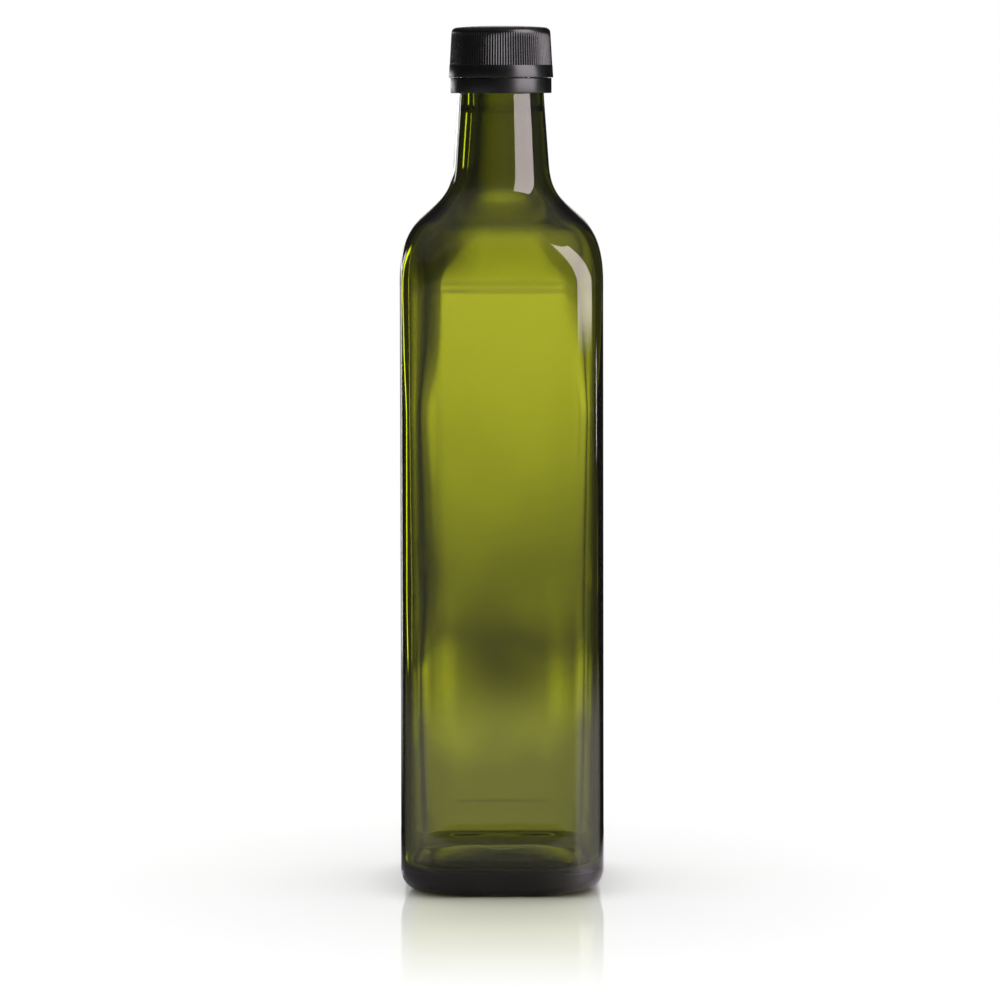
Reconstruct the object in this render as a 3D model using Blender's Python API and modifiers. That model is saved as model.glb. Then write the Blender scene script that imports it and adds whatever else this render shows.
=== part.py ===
"""Square oil bottle of olive-green glass, shut with a ribbed black screw cap over its tamper ring.

The bottle stands on Z = 0 with its axis along Z, and its four flat faces look along X and Y.
All lengths are in metres and all angles in degrees unless a name says otherwise.
"""

import math

import bmesh
import bpy
from mathutils import Vector
from mathutils.geometry import interpolate_bezier

OBJECT_NAME = "square_oil_bottle"

# Glass body, outside
FOOT_HALF_WIDTH = 0.0335
SHOULDER_HALF_WIDTH = 0.0332
CORNER_RADIUS = 0.0120
HEEL_REACH = 0.0055
HEEL_HEIGHT = 0.0090
BEARING_CORNER_RADIUS = 0.0220
BEARING_BREADTH = 0.0038
PUSH_UP_HEIGHT = 0.0030

# Recessed label panel on each flat face: it stands plumb, while the face round it leans out to the foot
PANEL_BOTTOM = 0.0204
PANEL_TOP = 0.2002
PANEL_HALF_WIDTH = 0.0214
PANEL_PLANE = 0.0331
PANEL_EDGE = 0.0018
PANEL_SIDE = 0.0060
PANEL_SILL = 0.0026

# Shoulder and neck, outside: two curves that meet on the steepest line of the shoulder
SHOULDER_START = 0.2010
SHOULDER_MEETING = (0.2221, 0.0266)
SHOULDER_ANGLE = 47.5
NECK_FOOT = (0.2397, 0.01575)
NECK_TAPER = 0.072
BODY_HANDLE = 0.0083
UPPER_HANDLE = 0.0079
LOWER_HANDLE = 0.0092
NECK_HANDLE = 0.0096
ROUND_FROM = 0.2010
ROUND_AT = 0.2320

# Mouth, under the cap
FINISH_FOOT = 0.2635
MOUTH_HEIGHT = 0.2830
LIP_RADIUS = 0.0008

# Wall thickness by height, from the floor up to the neck, and the corner radius inside by height
WALLS = ((0.000, 0.0034), (0.100, 0.0035), (0.198, 0.0026), (0.222, 0.0031), (0.240, 0.0046), (0.256, 0.0045))
BORE_RADIUS = 0.0093
BORE_STEP_TOP = 0.2592
BORE_STEP_FOOT = 0.2563
INNER_CORNERS = ((0.012, 0.0090), (0.050, 0.0078), (0.160, 0.0070), (0.200, 0.0108))
FLOOR_HEIGHT = 0.0072
FLOOR_CROWN = 0.0034
FLOOR_FILLET = 0.0045

# Cap
CAP_TOP = 0.2850
CAP_CROWN = 0.0005
CAP_EDGE_RADIUS = 0.0018
RIB_COUNT = 120
RIB_DEPTH = 0.00025
RIB_TOP = 0.2826
RIB_FOOT = 0.2723
CAP_TOP_RADIUS = 0.0163
RIB_FOOT_RADIUS = 0.0169
BAND_TOP_RADIUS = 0.0170
BAND_FOOT_RADIUS = 0.0172
CAP_FOOT = 0.2683
CAP_BORE_RADIUS = 0.0151
CAP_CEILING = 0.2834

# Tamper ring
RING_TOP = 0.2677
RING_FOOT = 0.2630
RING_RADIUS = 0.01665
RING_BORE_RADIUS = 0.0150
RING_EDGE_RADIUS = 0.0006
BRIDGE_COUNT = 8
BRIDGE_WIDTH = 0.0014
BRIDGE_HEIGHT = 0.0003
BRIDGE_ROOT = 0.0006

# Fineness
FLAT_STEPS = (0.0, 0.31, 0.62)
ARC_STEPS = 6
DOME_SHARES = (0.45, 0.8)
HEEL_STEPS = 4
SHOULDER_POINTS = 9
NECK_POINTS = 8
CAP_BORE_SEGMENTS = 48
RING_SEGMENTS = 64

# Colours of the three pieces (linear RGB)
GLASS_COLOUR = (0.20, 0.26, 0.015, 1.0)
CAP_COLOUR = (0.012, 0.012, 0.013, 1.0)


def smooth_share(value, start, end):
    """Goes smoothly from 0 at start to 1 at end."""
    t = min(max((value - start) / (end - start), 0.0), 1.0)
    return t * t * (3.0 - 2.0 * t)


def stepwise(value, table):
    """Reads a value off straight stretches between pairs of (place, value)."""
    for (a, low), (b, high) in zip(table, table[1:]):
        if value <= b:
            t = max((value - a) / (b - a), 0.0)
            return low + (high - low) * t
    return table[-1][1]


def clear_scene():
    """Removes what the open file's scene holds."""
    for obj in list(bpy.data.objects):
        bpy.data.objects.remove(obj, do_unlink=True)


def new_collection(name):
    """A collection in the scene."""
    collection = bpy.data.collections.new(name)
    bpy.context.scene.collection.children.link(collection)
    return collection


def new_material(name, colour, roughness, transmission):
    """A Principled material."""
    material = bpy.data.materials.new(name)
    material.use_nodes = True
    shader = material.node_tree.nodes["Principled BSDF"]
    shader.inputs["Base Color"].default_value = colour
    shader.inputs["Roughness"].default_value = roughness
    shader.inputs["Metallic"].default_value = 0.0
    shader.inputs["Transmission Weight"].default_value = transmission
    shader.inputs["IOR"].default_value = 1.52 if transmission else 1.49
    return material


def new_piece(name, bm, collection, material):
    """Turns a bmesh into a named object whose faces point outwards."""
    bmesh.ops.recalc_face_normals(bm, faces=bm.faces[:])
    mesh = bpy.data.meshes.new(name)
    bm.to_mesh(mesh)
    bm.free()
    mesh.materials.append(material)
    mesh.shade_smooth()
    mesh.set_sharp_from_angle(angle=math.radians(40.0))
    obj = bpy.data.objects.new(name, mesh)
    collection.objects.link(obj)
    return obj


def section_angles():
    """Polar angles of a section's vertices, close together round the corners of the square."""
    flat = SHOULDER_HALF_WIDTH - CORNER_RADIUS
    recess_end = PANEL_HALF_WIDTH - PANEL_SIDE
    octant = [math.atan2(share * flat, SHOULDER_HALF_WIDTH) for share in FLAT_STEPS]
    octant.append(math.atan2(recess_end, SHOULDER_HALF_WIDTH))
    for step in range(ARC_STEPS // 2 + 1):
        turn = math.radians(90.0) * step / ARC_STEPS
        x = flat + CORNER_RADIUS * math.cos(turn)
        y = flat + CORNER_RADIUS * math.sin(turn)
        octant.append(math.atan2(y, x))
    mirrored = [math.radians(90.0) - angle for angle in reversed(octant[1:-1])]
    quadrant = octant + mirrored
    return [angle + math.radians(90.0) * turn for turn in range(4) for angle in quadrant]


def section_reach(angle, half_width, corner_radius):
    """Distance from the axis to a rounded square's outline, in the direction of a polar angle."""
    c = abs(math.cos(angle))
    s = abs(math.sin(angle))
    c, s = max(c, s), min(c, s)
    centre = half_width - corner_radius
    if half_width * s <= centre * c:
        return half_width / c
    along = centre * (c + s)
    return along + math.sqrt(max(along * along - 2.0 * centre * centre + corner_radius**2, 0.0))


def panel_recess(across, height):
    """How deep the label panel lies at a place on a flat face."""
    side = smooth_share(abs(across), PANEL_HALF_WIDTH, PANEL_HALF_WIDTH - PANEL_SIDE)
    foot = smooth_share(height, PANEL_BOTTOM, PANEL_BOTTOM + PANEL_SILL)
    top = smooth_share(height, PANEL_TOP, PANEL_TOP - PANEL_EDGE)
    return (body_half_width(height) - PANEL_PLANE) * side * foot * top


def section_point(angle, station, recessed):
    """A point of the section at a station (height, half width, corner radius)."""
    height, half_width, corner_radius = station
    reach = section_reach(angle, half_width, corner_radius)
    x = reach * math.cos(angle)
    y = reach * math.sin(angle)
    if recessed:
        depth = panel_recess(min(abs(x), abs(y)), height)
        if abs(x) >= abs(y):
            x -= math.copysign(depth, x)
        else:
            y -= math.copysign(depth, y)
    return Vector((x, y, height))


def add_section(bm, station, recessed=False):
    """Adds one closed section to a bmesh and returns its vertices in order."""
    return [bm.verts.new(section_point(angle, station, recessed)) for angle in section_angles()]


def add_round(bm, height, radii):
    """Adds a round section whose vertices take the given radii in turn."""
    count = len(radii)
    made = []
    for i, radius in enumerate(radii):
        turn = 2.0 * math.pi * i / count
        made.append(bm.verts.new((radius * math.cos(turn), radius * math.sin(turn), height)))
    return made


def loft(bm, sections):
    """Joins each section to the next with quads."""
    for lower, upper in zip(sections, sections[1:]):
        count = len(lower)
        for i in range(count):
            j = (i + 1) % count
            bm.faces.new((lower[i], lower[j], upper[j], upper[i]))


def fill_between(bm, fine, coarse):
    """Fills between a fine round and a coarse one, where each coarse step spans a few fine ones."""
    ratio = len(fine) // len(coarse)
    for i, here in enumerate(coarse):
        for k in range(i * ratio, (i + 1) * ratio):
            bm.faces.new((fine[k], fine[(k + 1) % len(fine)], here))
        after = (i + 1) % len(coarse)
        bm.faces.new((fine[after * ratio], coarse[after], here))


def close_with_point(bm, section, height):
    """Closes a section with a fan of triangles to a point on the axis."""
    centre = bm.verts.new((0.0, 0.0, height))
    count = len(section)
    for i in range(count):
        bm.faces.new((section[i], section[(i + 1) % count], centre))


def bezier(start, start_handle, end_handle, end, count):
    """Points of a Bezier curve in the plane of height and half width."""
    knots = [Vector((*point, 0.0)) for point in (start, start_handle, end_handle, end)]
    return [(point.x, point.y) for point in interpolate_bezier(*knots, count)]


def shoulder_outline():
    """(height, half width) from the top of the body to the foot of the neck."""
    rise = math.cos(math.radians(SHOULDER_ANGLE))
    run = math.sin(math.radians(SHOULDER_ANGLE))
    body = (SHOULDER_START, SHOULDER_HALF_WIDTH)
    body_handle = (SHOULDER_START + BODY_HANDLE, SHOULDER_HALF_WIDTH)
    height, half_width = SHOULDER_MEETING
    before = (height - UPPER_HANDLE * rise, half_width + UPPER_HANDLE * run)
    after = (height + LOWER_HANDLE * rise, half_width - LOWER_HANDLE * run)
    neck_height, neck_radius = NECK_FOOT
    neck_handle = (neck_height - NECK_HANDLE, neck_radius + NECK_HANDLE * NECK_TAPER)
    shoulder = bezier(body, body_handle, before, SHOULDER_MEETING, SHOULDER_POINTS)
    neck = bezier(SHOULDER_MEETING, after, neck_handle, NECK_FOOT, NECK_POINTS)
    return shoulder + neck[1:]


def body_half_width(height):
    """The body's half width, which grows slightly towards the foot."""
    share = min(height / SHOULDER_START, 1.0)
    return FOOT_HALF_WIDTH + (SHOULDER_HALF_WIDTH - FOOT_HALF_WIDTH) * share


def neck_radius(height):
    """The neck's outer radius above its foot."""
    return NECK_FOOT[1] - (min(height, FINISH_FOOT) - NECK_FOOT[0]) * NECK_TAPER


def inner_corner(height):
    """The corner radius of the inner surface at a height."""
    return stepwise(height, INNER_CORNERS)


def rounded(height, half_width, corner_radius):
    """The corner radius at a height: the body's below the shoulder, a full circle from the neck up."""
    share = smooth_share(height, ROUND_FROM, ROUND_AT)
    return corner_radius + (half_width - corner_radius) * share


def body_heights():
    """Heights of the sections on the straight body."""
    return (
        PANEL_BOTTOM,
        PANEL_BOTTOM + PANEL_SILL / 2.0,
        PANEL_BOTTOM + PANEL_SILL,
        (PANEL_BOTTOM + PANEL_TOP) / 2.0,
        PANEL_TOP - PANEL_EDGE,
        PANEL_TOP - PANEL_EDGE / 2.0,
        PANEL_TOP,
    )


def outer_stations():
    """Stations of the outer surface, from the bearing ring up to the lip."""
    stations = []
    for step in range(HEEL_STEPS + 1):
        turn = math.radians(90.0) * step / HEEL_STEPS
        height = HEEL_HEIGHT * (1.0 - math.cos(turn))
        half_width = FOOT_HALF_WIDTH - HEEL_REACH * (1.0 - math.sin(turn))
        spread = (BEARING_CORNER_RADIUS - CORNER_RADIUS) * (1.0 - math.sin(turn))
        stations.append((height, half_width, CORNER_RADIUS + spread))
    for height in body_heights():
        stations.append((height, body_half_width(height), CORNER_RADIUS))
    for height, half_width in shoulder_outline():
        stations.append((height, half_width, rounded(height, half_width, CORNER_RADIUS)))
    for height in (BORE_STEP_FOOT, FINISH_FOOT, MOUTH_HEIGHT - LIP_RADIUS):
        radius = neck_radius(height)
        stations.append((height, radius, radius))
    lip = neck_radius(MOUTH_HEIGHT) - LIP_RADIUS
    stations.append((MOUTH_HEIGHT, lip, lip))
    return stations


def inner_stations():
    """Stations of the inner surface, from the lip down to the floor."""
    bore = BORE_RADIUS + LIP_RADIUS
    stations = [(MOUTH_HEIGHT, bore, bore)]
    for height in (MOUTH_HEIGHT - LIP_RADIUS, BORE_STEP_TOP):
        stations.append((height, BORE_RADIUS, BORE_RADIUS))
    foot_radius = neck_radius(BORE_STEP_FOOT) - stepwise(BORE_STEP_FOOT, WALLS)
    stations.append((BORE_STEP_FOOT, foot_radius, foot_radius))
    outline = shoulder_outline()
    for here, after in reversed(list(zip(outline, outline[1:]))):
        along = Vector((after[0] - here[0], after[1] - here[1])).normalized()
        wall = stepwise(after[0], WALLS)
        height = after[0] + along.y * wall
        half_width = after[1] - along.x * wall
        stations.append((height, half_width, rounded(height, half_width, inner_corner(height))))
    floor_half_width = body_half_width(0.0) - stepwise(0.0, WALLS)
    for height in (SHOULDER_START, *(height for height, _ in reversed(INNER_CORNERS[1:-1]))):
        half_width = body_half_width(height) - stepwise(height, WALLS)
        stations.append((height, half_width, inner_corner(height)))
    for step in range(HEEL_STEPS + 1):
        turn = math.radians(90.0) * step / HEEL_STEPS
        height = FLOOR_HEIGHT + FLOOR_FILLET * (1.0 - math.sin(turn))
        half_width = floor_half_width - FLOOR_FILLET * (1.0 - math.cos(turn))
        stations.append((height, half_width, inner_corner(height)))
    rim = floor_half_width - FLOOR_FILLET
    return stations + dome_stations(FLOOR_HEIGHT, FLOOR_CROWN, rim, inner_corner(FLOOR_HEIGHT))[::-1]


def dome_stations(foot, rise, half_width, corner_radius):
    """Stations of a low dome, from near its middle out to just inside its rim."""
    stations = []
    for share in DOME_SHARES:
        height = foot + rise * (1.0 - share * share)
        stations.append((height, half_width * share, corner_radius * share))
    return stations


def underside_stations():
    """Stations of the underside, from under the push-up out to the bearing ring."""
    outline = FOOT_HALF_WIDTH - HEEL_REACH - BEARING_BREADTH
    corner = BEARING_CORNER_RADIUS - BEARING_BREADTH
    return dome_stations(0.0, PUSH_UP_HEIGHT, outline, corner) + [(0.0, outline, corner)]


def make_bottle(collection):
    """The glass: one wall from the underside round the lip to the inner floor."""
    bm = bmesh.new()
    underside = [add_section(bm, station) for station in underside_stations()]
    outside = [add_section(bm, station, recessed=True) for station in outer_stations()]
    inside = [add_section(bm, station) for station in inner_stations()]
    loft(bm, underside + outside + inside)
    close_with_point(bm, underside[0], PUSH_UP_HEIGHT)
    close_with_point(bm, inside[-1], FLOOR_HEIGHT + FLOOR_CROWN)
    return new_piece("bottle", bm, collection, new_material("green_glass", GLASS_COLOUR, 0.03, 1.0))


def rib_radii(radius, depth):
    """Radii round the cap that rise and fall once for each rib."""
    return [radius - depth * (i % 2) for i in range(2 * RIB_COUNT)]


def make_cap(collection):
    """The screw cap: a closed cup with fine upright ribs over a plain band."""
    bm = bmesh.new()
    edge = CAP_TOP - CAP_CROWN
    shells = (
        (edge, CAP_TOP_RADIUS - CAP_EDGE_RADIUS, 0.0),
        (edge - 0.3 * CAP_EDGE_RADIUS, CAP_TOP_RADIUS - 0.3 * CAP_EDGE_RADIUS, 0.0),
        (RIB_TOP, CAP_TOP_RADIUS, 0.0),
        (RIB_TOP - CAP_EDGE_RADIUS / 2.0, CAP_TOP_RADIUS, RIB_DEPTH),
        (RIB_FOOT, RIB_FOOT_RADIUS, RIB_DEPTH),
        (RIB_FOOT - RIB_DEPTH, BAND_TOP_RADIUS, 0.0),
        (CAP_FOOT, BAND_FOOT_RADIUS, 0.0),
    )
    outside = [add_round(bm, height, rib_radii(radius, depth)) for height, radius, depth in shells]
    loft(bm, outside)
    close_with_point(bm, outside[0], CAP_TOP)
    ceiling = add_round(bm, CAP_CEILING, [CAP_BORE_RADIUS] * CAP_BORE_SEGMENTS)
    foot = add_round(bm, CAP_FOOT, [CAP_BORE_RADIUS] * CAP_BORE_SEGMENTS)
    loft(bm, [ceiling, foot])
    bm.faces.new(ceiling)
    fill_between(bm, outside[-1], foot)
    return new_piece("cap", bm, collection, new_material("black_cap", CAP_COLOUR, 0.35, 0.0))


def make_ring_blank(collection, material):
    """The tamper ring without its bridges: a turned band, its profile running down the outer side."""
    corner = RING_EDGE_RADIUS
    profile = (
        (RING_BORE_RADIUS, RING_TOP),
        (RING_RADIUS - corner, RING_TOP),
        (RING_RADIUS, RING_TOP - corner),
        (RING_RADIUS, RING_FOOT + corner),
        (RING_RADIUS - corner, RING_FOOT),
        (RING_BORE_RADIUS, RING_FOOT),
    )
    bm = bmesh.new()
    points = [bm.verts.new((radius, 0.0, height)) for radius, height in profile]
    for here, after in zip(points, points[1:] + points[:1]):
        bm.edges.new((here, after))
    mesh = bpy.data.meshes.new("tamper_ring")
    bm.to_mesh(mesh)
    bm.free()
    mesh.materials.append(material)
    ring = bpy.data.objects.new("tamper_ring", mesh)
    collection.objects.link(ring)
    screw = ring.modifiers.new("turn", "SCREW")
    screw.axis = "Z"
    screw.steps = RING_SEGMENTS
    screw.render_steps = RING_SEGMENTS
    screw.use_merge_vertices = True
    screw.merge_threshold = 0.00001
    return ring


def make_bridges(collection):
    """The small tabs on the ring's top edge that tie it to the cap until the first opening."""
    breadth = (RING_RADIUS - RING_EDGE_RADIUS - RING_BORE_RADIUS) / 2.0
    middle = RING_BORE_RADIUS + breadth
    height = BRIDGE_HEIGHT + BRIDGE_ROOT
    for index in range(BRIDGE_COUNT):
        turn = 2.0 * math.pi * (index + 0.5) / BRIDGE_COUNT
        bm = bmesh.new()
        bmesh.ops.create_cube(bm, size=1.0)
        bmesh.ops.scale(bm, vec=Vector((breadth, BRIDGE_WIDTH, height)), verts=bm.verts[:])
        mesh = bpy.data.meshes.new(f"bridge_{index}")
        bm.to_mesh(mesh)
        bm.free()
        bridge = bpy.data.objects.new(f"bridge_{index}", mesh)
        bridge.location = (
            middle * math.cos(turn),
            middle * math.sin(turn),
            RING_TOP + BRIDGE_HEIGHT - height / 2.0,
        )
        bridge.rotation_euler = (0.0, 0.0, turn)
        bridge.hide_render = True
        bridge.display_type = "WIRE"
        collection.objects.link(bridge)


def make_tamper_ring(collection, helpers):
    """The tamper ring with its bridges joined on."""
    material = new_material("black_ring", CAP_COLOUR, 0.35, 0.0)
    ring = make_ring_blank(collection, material)
    make_bridges(helpers)
    join = ring.modifiers.new("join_bridges", "BOOLEAN")
    join.operation = "UNION"
    join.operand_type = "COLLECTION"
    join.collection = helpers
    join.solver = "EXACT"
    return ring


def main():
    """Builds the three pieces."""
    clear_scene()
    pieces = new_collection(OBJECT_NAME)
    helpers = new_collection("ring_bridges")
    helpers.hide_render = True
    make_bottle(pieces)
    make_cap(pieces)
    make_tamper_ring(pieces, helpers)


main()
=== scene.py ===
"""Square oil bottle of olive-green glass with a ribbed black screw cap and its tamper ring.

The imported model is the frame. Each of its three solids is stood for by a finer piece in the same
place: the glass with its drawn inner wall, the cap with rounded ribs, and the ring with its bridges.
The bottle stands on Z = 0 with its axis along Z. Lengths are in metres and angles in degrees, but a
turn and a polar angle are in radians. A light's azimuth runs from the camera's side (-Y) towards +X,
and the room's from straight behind the bottle (+Y) towards +X.
"""

from __future__ import annotations

import logging
import math
from collections.abc import Callable, Iterable, Mapping
from dataclasses import dataclass
from enum import Enum
from typing import Any

import bmesh
import bpy
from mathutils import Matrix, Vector, noise
from mathutils.geometry import interpolate_bezier


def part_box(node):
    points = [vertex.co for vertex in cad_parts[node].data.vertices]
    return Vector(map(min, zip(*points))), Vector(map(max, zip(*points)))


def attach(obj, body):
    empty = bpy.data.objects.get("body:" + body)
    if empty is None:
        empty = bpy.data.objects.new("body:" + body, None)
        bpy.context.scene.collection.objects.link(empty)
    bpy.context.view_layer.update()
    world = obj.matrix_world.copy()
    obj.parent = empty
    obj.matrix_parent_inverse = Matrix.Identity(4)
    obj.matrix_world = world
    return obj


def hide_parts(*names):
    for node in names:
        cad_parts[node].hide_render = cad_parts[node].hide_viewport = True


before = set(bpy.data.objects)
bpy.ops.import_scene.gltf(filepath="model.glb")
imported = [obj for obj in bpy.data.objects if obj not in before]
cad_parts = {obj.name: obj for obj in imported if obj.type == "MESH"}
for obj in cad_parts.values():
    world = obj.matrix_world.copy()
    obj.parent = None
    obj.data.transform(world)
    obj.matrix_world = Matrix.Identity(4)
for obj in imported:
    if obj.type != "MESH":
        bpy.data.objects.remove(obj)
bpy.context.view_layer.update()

BODY = "root"
IMAGE_SIZE = 1000
SENSOR_WIDTH = 0.036
MM_PER_METRE = 1000.0
FULL_TURN = 360.0
HALF_TURN = 180.0
RIGHT_ANGLE = 90.0
MERGE_DISTANCE = 0.000001
MIX_SHARE = 0
MIX_COLOURS = (6, 7)
MIX_RESULT = 2

Colour = tuple[float, float, float]
Point = tuple[float, float]

log = logging.getLogger("oil_bottle")


class Ray(Enum):
    """The kinds of light ray that an object of the studio can be seen by."""

    CAMERA = "visible_camera"
    DIFFUSE = "visible_diffuse"
    GLOSSY = "visible_glossy"
    TRANSMISSION = "visible_transmission"
    SHADOW = "visible_shadow"

    @classmethod
    def limit(cls, made: bpy.types.Object, seen_by: Iterable[Ray]) -> None:
        """Lets only the given rays see an object."""
        for ray in cls:
            setattr(made, ray.value, ray in seen_by)


class Wall(Enum):
    """The two surfaces of the glass."""

    OUTSIDE = "outside"
    INSIDE = "inside"


def smooth_share(value: float, start: float, end: float) -> float:
    """Goes smoothly from 0 at start to 1 at end.

    Args:
        value: Where on the way from start to end.
        start: The value that gives 0.
        end: The value that gives 1; it may be the smaller one.

    Returns:
        The share, from 0 to 1.
    """
    t = min(max((value - start) / (end - start), 0.0), 1.0)
    return t * t * (3.0 - 2.0 * t)


def stepwise(value: float, table: tuple[Point, ...]) -> float:
    """Reads a value off straight stretches between pairs of (place, value).

    Args:
        value: The place to read at.
        table: The pairs, by rising place.

    Returns:
        The value there; past either end it stays what it is at that end.
    """
    for (a, low), (b, high) in zip(table, table[1:]):
        if value <= b:
            t = max((value - a) / (b - a), 0.0)
            return low + (high - low) * t
    return table[-1][1]


def quarter_turn(steps: int, first: int = 0) -> list[Point]:
    """Goes from 0 to a right angle in equal steps.

    Args:
        steps: How many steps the right angle has.
        first: The step to start at.

    Returns:
        The sine and the cosine at each step.
    """
    turns = [math.radians(RIGHT_ANGLE) * step / steps for step in range(first, steps + 1)]
    return [(math.sin(turn), math.cos(turn)) for turn in turns]


def around(radius: float, turn: float, height: float) -> Vector:
    """The point at a radius, a polar angle and a height."""
    return Vector((radius * math.cos(turn), radius * math.sin(turn), height))


def circle(radius: float, height: float) -> Callable[[float], Vector]:
    """A level circle, as a function that gives a point of it from its polar angle."""
    return lambda turn: around(radius, turn, height)


def hand_over(
    bm: bmesh.types.BMesh, name: str, material: bpy.types.Material | None = None
) -> bpy.types.Object:
    """Turns a bmesh into an object of the scene.

    Args:
        bm: The bmesh, which is freed.
        name: The name of the mesh and of the object.
        material: The object's material, if it gets one here.

    Returns:
        The object.
    """
    mesh = bpy.data.meshes.new(name)
    bm.to_mesh(mesh)
    bm.free()
    if material:
        mesh.materials.append(material)
    made = bpy.data.objects.new(name, mesh)
    bpy.context.scene.collection.objects.link(made)
    return made


class Value:
    """A number that varies over a surface, held as a node socket that Python's operators work on."""

    def __init__(self, tree: Tree, socket: bpy.types.NodeSocket) -> None:
        """Wraps a socket of a tree."""
        self.tree = tree
        self.socket = socket

    def __add__(self, other: Value | float) -> Value:
        """Adds."""
        return self.tree.maths("ADD", self, other)

    def __sub__(self, other: Value | float) -> Value:
        """Subtracts."""
        return self.tree.maths("SUBTRACT", self, other)

    def __rsub__(self, other: float) -> Value:
        """Subtracts from a number."""
        return self.tree.maths("SUBTRACT", other, self)

    def __mul__(self, other: Value | float) -> Value:
        """Multiplies."""
        return self.tree.maths("MULTIPLY", self, other)

    def __truediv__(self, other: Value | float) -> Value:
        """Divides."""
        return self.tree.maths("DIVIDE", self, other)

    def __pow__(self, other: Value | float) -> Value:
        """Raises to a power."""
        return self.tree.maths("POWER", self, other)

    def __abs__(self) -> Value:
        """Drops the sign."""
        return self.tree.maths("ABSOLUTE", self)

    __radd__ = __add__
    __rmul__ = __mul__

    def fade(self, start: float, end: float) -> Value:
        """Goes smoothly from 0 where this is start to 1 where it is end.

        Args:
            start: The value that gives 0.
            end: The value that gives 1; it may be the smaller one.

        Returns:
            The faded value.
        """
        low, high = min(start, end), max(start, end)
        made = self.tree.node(
            "ShaderNodeMapRange",
            {"interpolation_type": "SMOOTHSTEP"},
            {"Value": self, "From Min": low, "From Max": high},
        )
        rising = Value(self.tree, made.outputs["Result"])
        return rising if start < end else 1.0 - rising


class Tree:
    """A node tree that is filled by method calls."""

    def __init__(self, owner: bpy.types.Material | bpy.types.World) -> None:
        """Empties the owner's node tree."""
        owner.use_nodes = True
        self.nodes = owner.node_tree.nodes
        self.links = owner.node_tree.links
        self.nodes.clear()

    def node(
        self,
        kind: str,
        settings: Mapping[str, Any] | None = None,
        inputs: Mapping[str | int, Any] | None = None,
    ) -> bpy.types.Node:
        """Adds a node.

        Args:
            kind: The node's type, such as ShaderNodeBump.
            settings: Its own properties, set before its sockets.
            inputs: What each input socket holds: a Value, another node's socket, a number or a colour.

        Returns:
            The new node.
        """
        made = self.nodes.new(kind)
        for name, setting in (settings or {}).items():
            setattr(made, name, setting)
        for name, content in (inputs or {}).items():
            socket = made.inputs[name]
            if isinstance(content, Value):
                self.links.new(content.socket, socket)
            elif isinstance(content, bpy.types.NodeSocket):
                self.links.new(content, socket)
            elif socket.type == "RGBA":
                socket.default_value = (*content, 1.0)
            else:
                socket.default_value = content
        return made

    def maths(self, operation: str, *terms: Value | float) -> Value:
        """Adds a Math node over the terms and returns its result."""
        made = self.node("ShaderNodeMath", {"operation": operation}, dict(enumerate(terms)))
        return Value(self, made.outputs[0])

    def mix(self, share: Value | float, first: Any, second: Any) -> bpy.types.NodeSocket:
        """Mixes two colours.

        Args:
            share: How much of the second, from 0 to 1.
            first: A colour or a colour socket.
            second: Another.

        Returns:
            The mixed colour's socket.
        """
        inputs = {MIX_SHARE: share, **dict(zip(MIX_COLOURS, (first, second)))}
        return self.node("ShaderNodeMix", {"data_type": "RGBA"}, inputs).outputs[MIX_RESULT]

    def place(self) -> bpy.types.NodeSocket:
        """Adds the object's own coordinates, which are metres here."""
        return self.node("ShaderNodeTexCoord").outputs["Object"]

    def split(self, vector: bpy.types.NodeSocket) -> tuple[Value, Value, Value]:
        """Splits a vector into its three parts."""
        made = self.node("ShaderNodeSeparateXYZ", inputs={"Vector": vector})
        x, y, z = (Value(self, socket) for socket in made.outputs)
        return x, y, z

    def stretched(self, scale: Colour) -> bpy.types.NodeSocket:
        """Scales the object's coordinates.

        Args:
            scale: How many pattern cells lie along each metre of X, Y and Z.

        Returns:
            The scaled coordinates' socket.
        """
        made = self.node(
            "ShaderNodeVectorMath",
            {"operation": "MULTIPLY"},
            {0: self.place(), 1: scale},
        )
        return made.outputs[0]

    def noise(self, scale: Colour, detail: float = 2.0, roughness: float = 0.5) -> Value:
        """Adds a cloudy pattern between 0 and 1.

        Args:
            scale: How many pattern cells lie along each metre of X, Y and Z.
            detail: How many finer layers it has.
            roughness: How strong the finer layers are.

        Returns:
            The pattern.
        """
        made = self.node(
            "ShaderNodeTexNoise",
            inputs={
                "Vector": self.stretched(scale),
                "Scale": 1.0,
                "Detail": detail,
                "Roughness": roughness,
            },
        )
        return Value(self, made.outputs[0])

    def bump(self, height: Value, depth: float, under: Any = None) -> bpy.types.NodeSocket:
        """Adds a Bump node.

        Args:
            height: The relief, from 0 to 1.
            depth: How many metres high the relief is at 1.
            under: The normal of an earlier bump, if there is one.

        Returns:
            The bumped normal's socket.
        """
        inputs = {"Height": height, "Distance": depth, "Strength": 1.0}
        if under is not None:
            inputs["Normal"] = under
        return self.node("ShaderNodeBump", inputs=inputs).outputs["Normal"]

    def blend(self, share: Value, first: bpy.types.Node, second: bpy.types.Node) -> bpy.types.Node:
        """Blends two shaders; the share is how much of the second there is, from 0 to 1."""
        inputs = {0: share, 1: first.outputs[0], 2: second.outputs[0]}
        return self.node("ShaderNodeMixShader", inputs=inputs)

    def surface(self, shader: bpy.types.Node) -> None:
        """Makes a shader the material's surface."""
        self.node("ShaderNodeOutputMaterial", inputs={"Surface": shader.outputs[0]})

    def cover(self, share: Value, colour: Colour, strength: Value | float) -> None:
        """Ends the tree in a light that is clear where it doesn't cover.

        Args:
            share: How far it covers, from 0 to 1.
            colour: The light's colour.
            strength: The light's strength.
        """
        light = self.node("ShaderNodeEmission", inputs={"Color": colour, "Strength": strength})
        self.surface(self.blend(share, self.node("ShaderNodeBsdfTransparent"), light))


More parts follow.
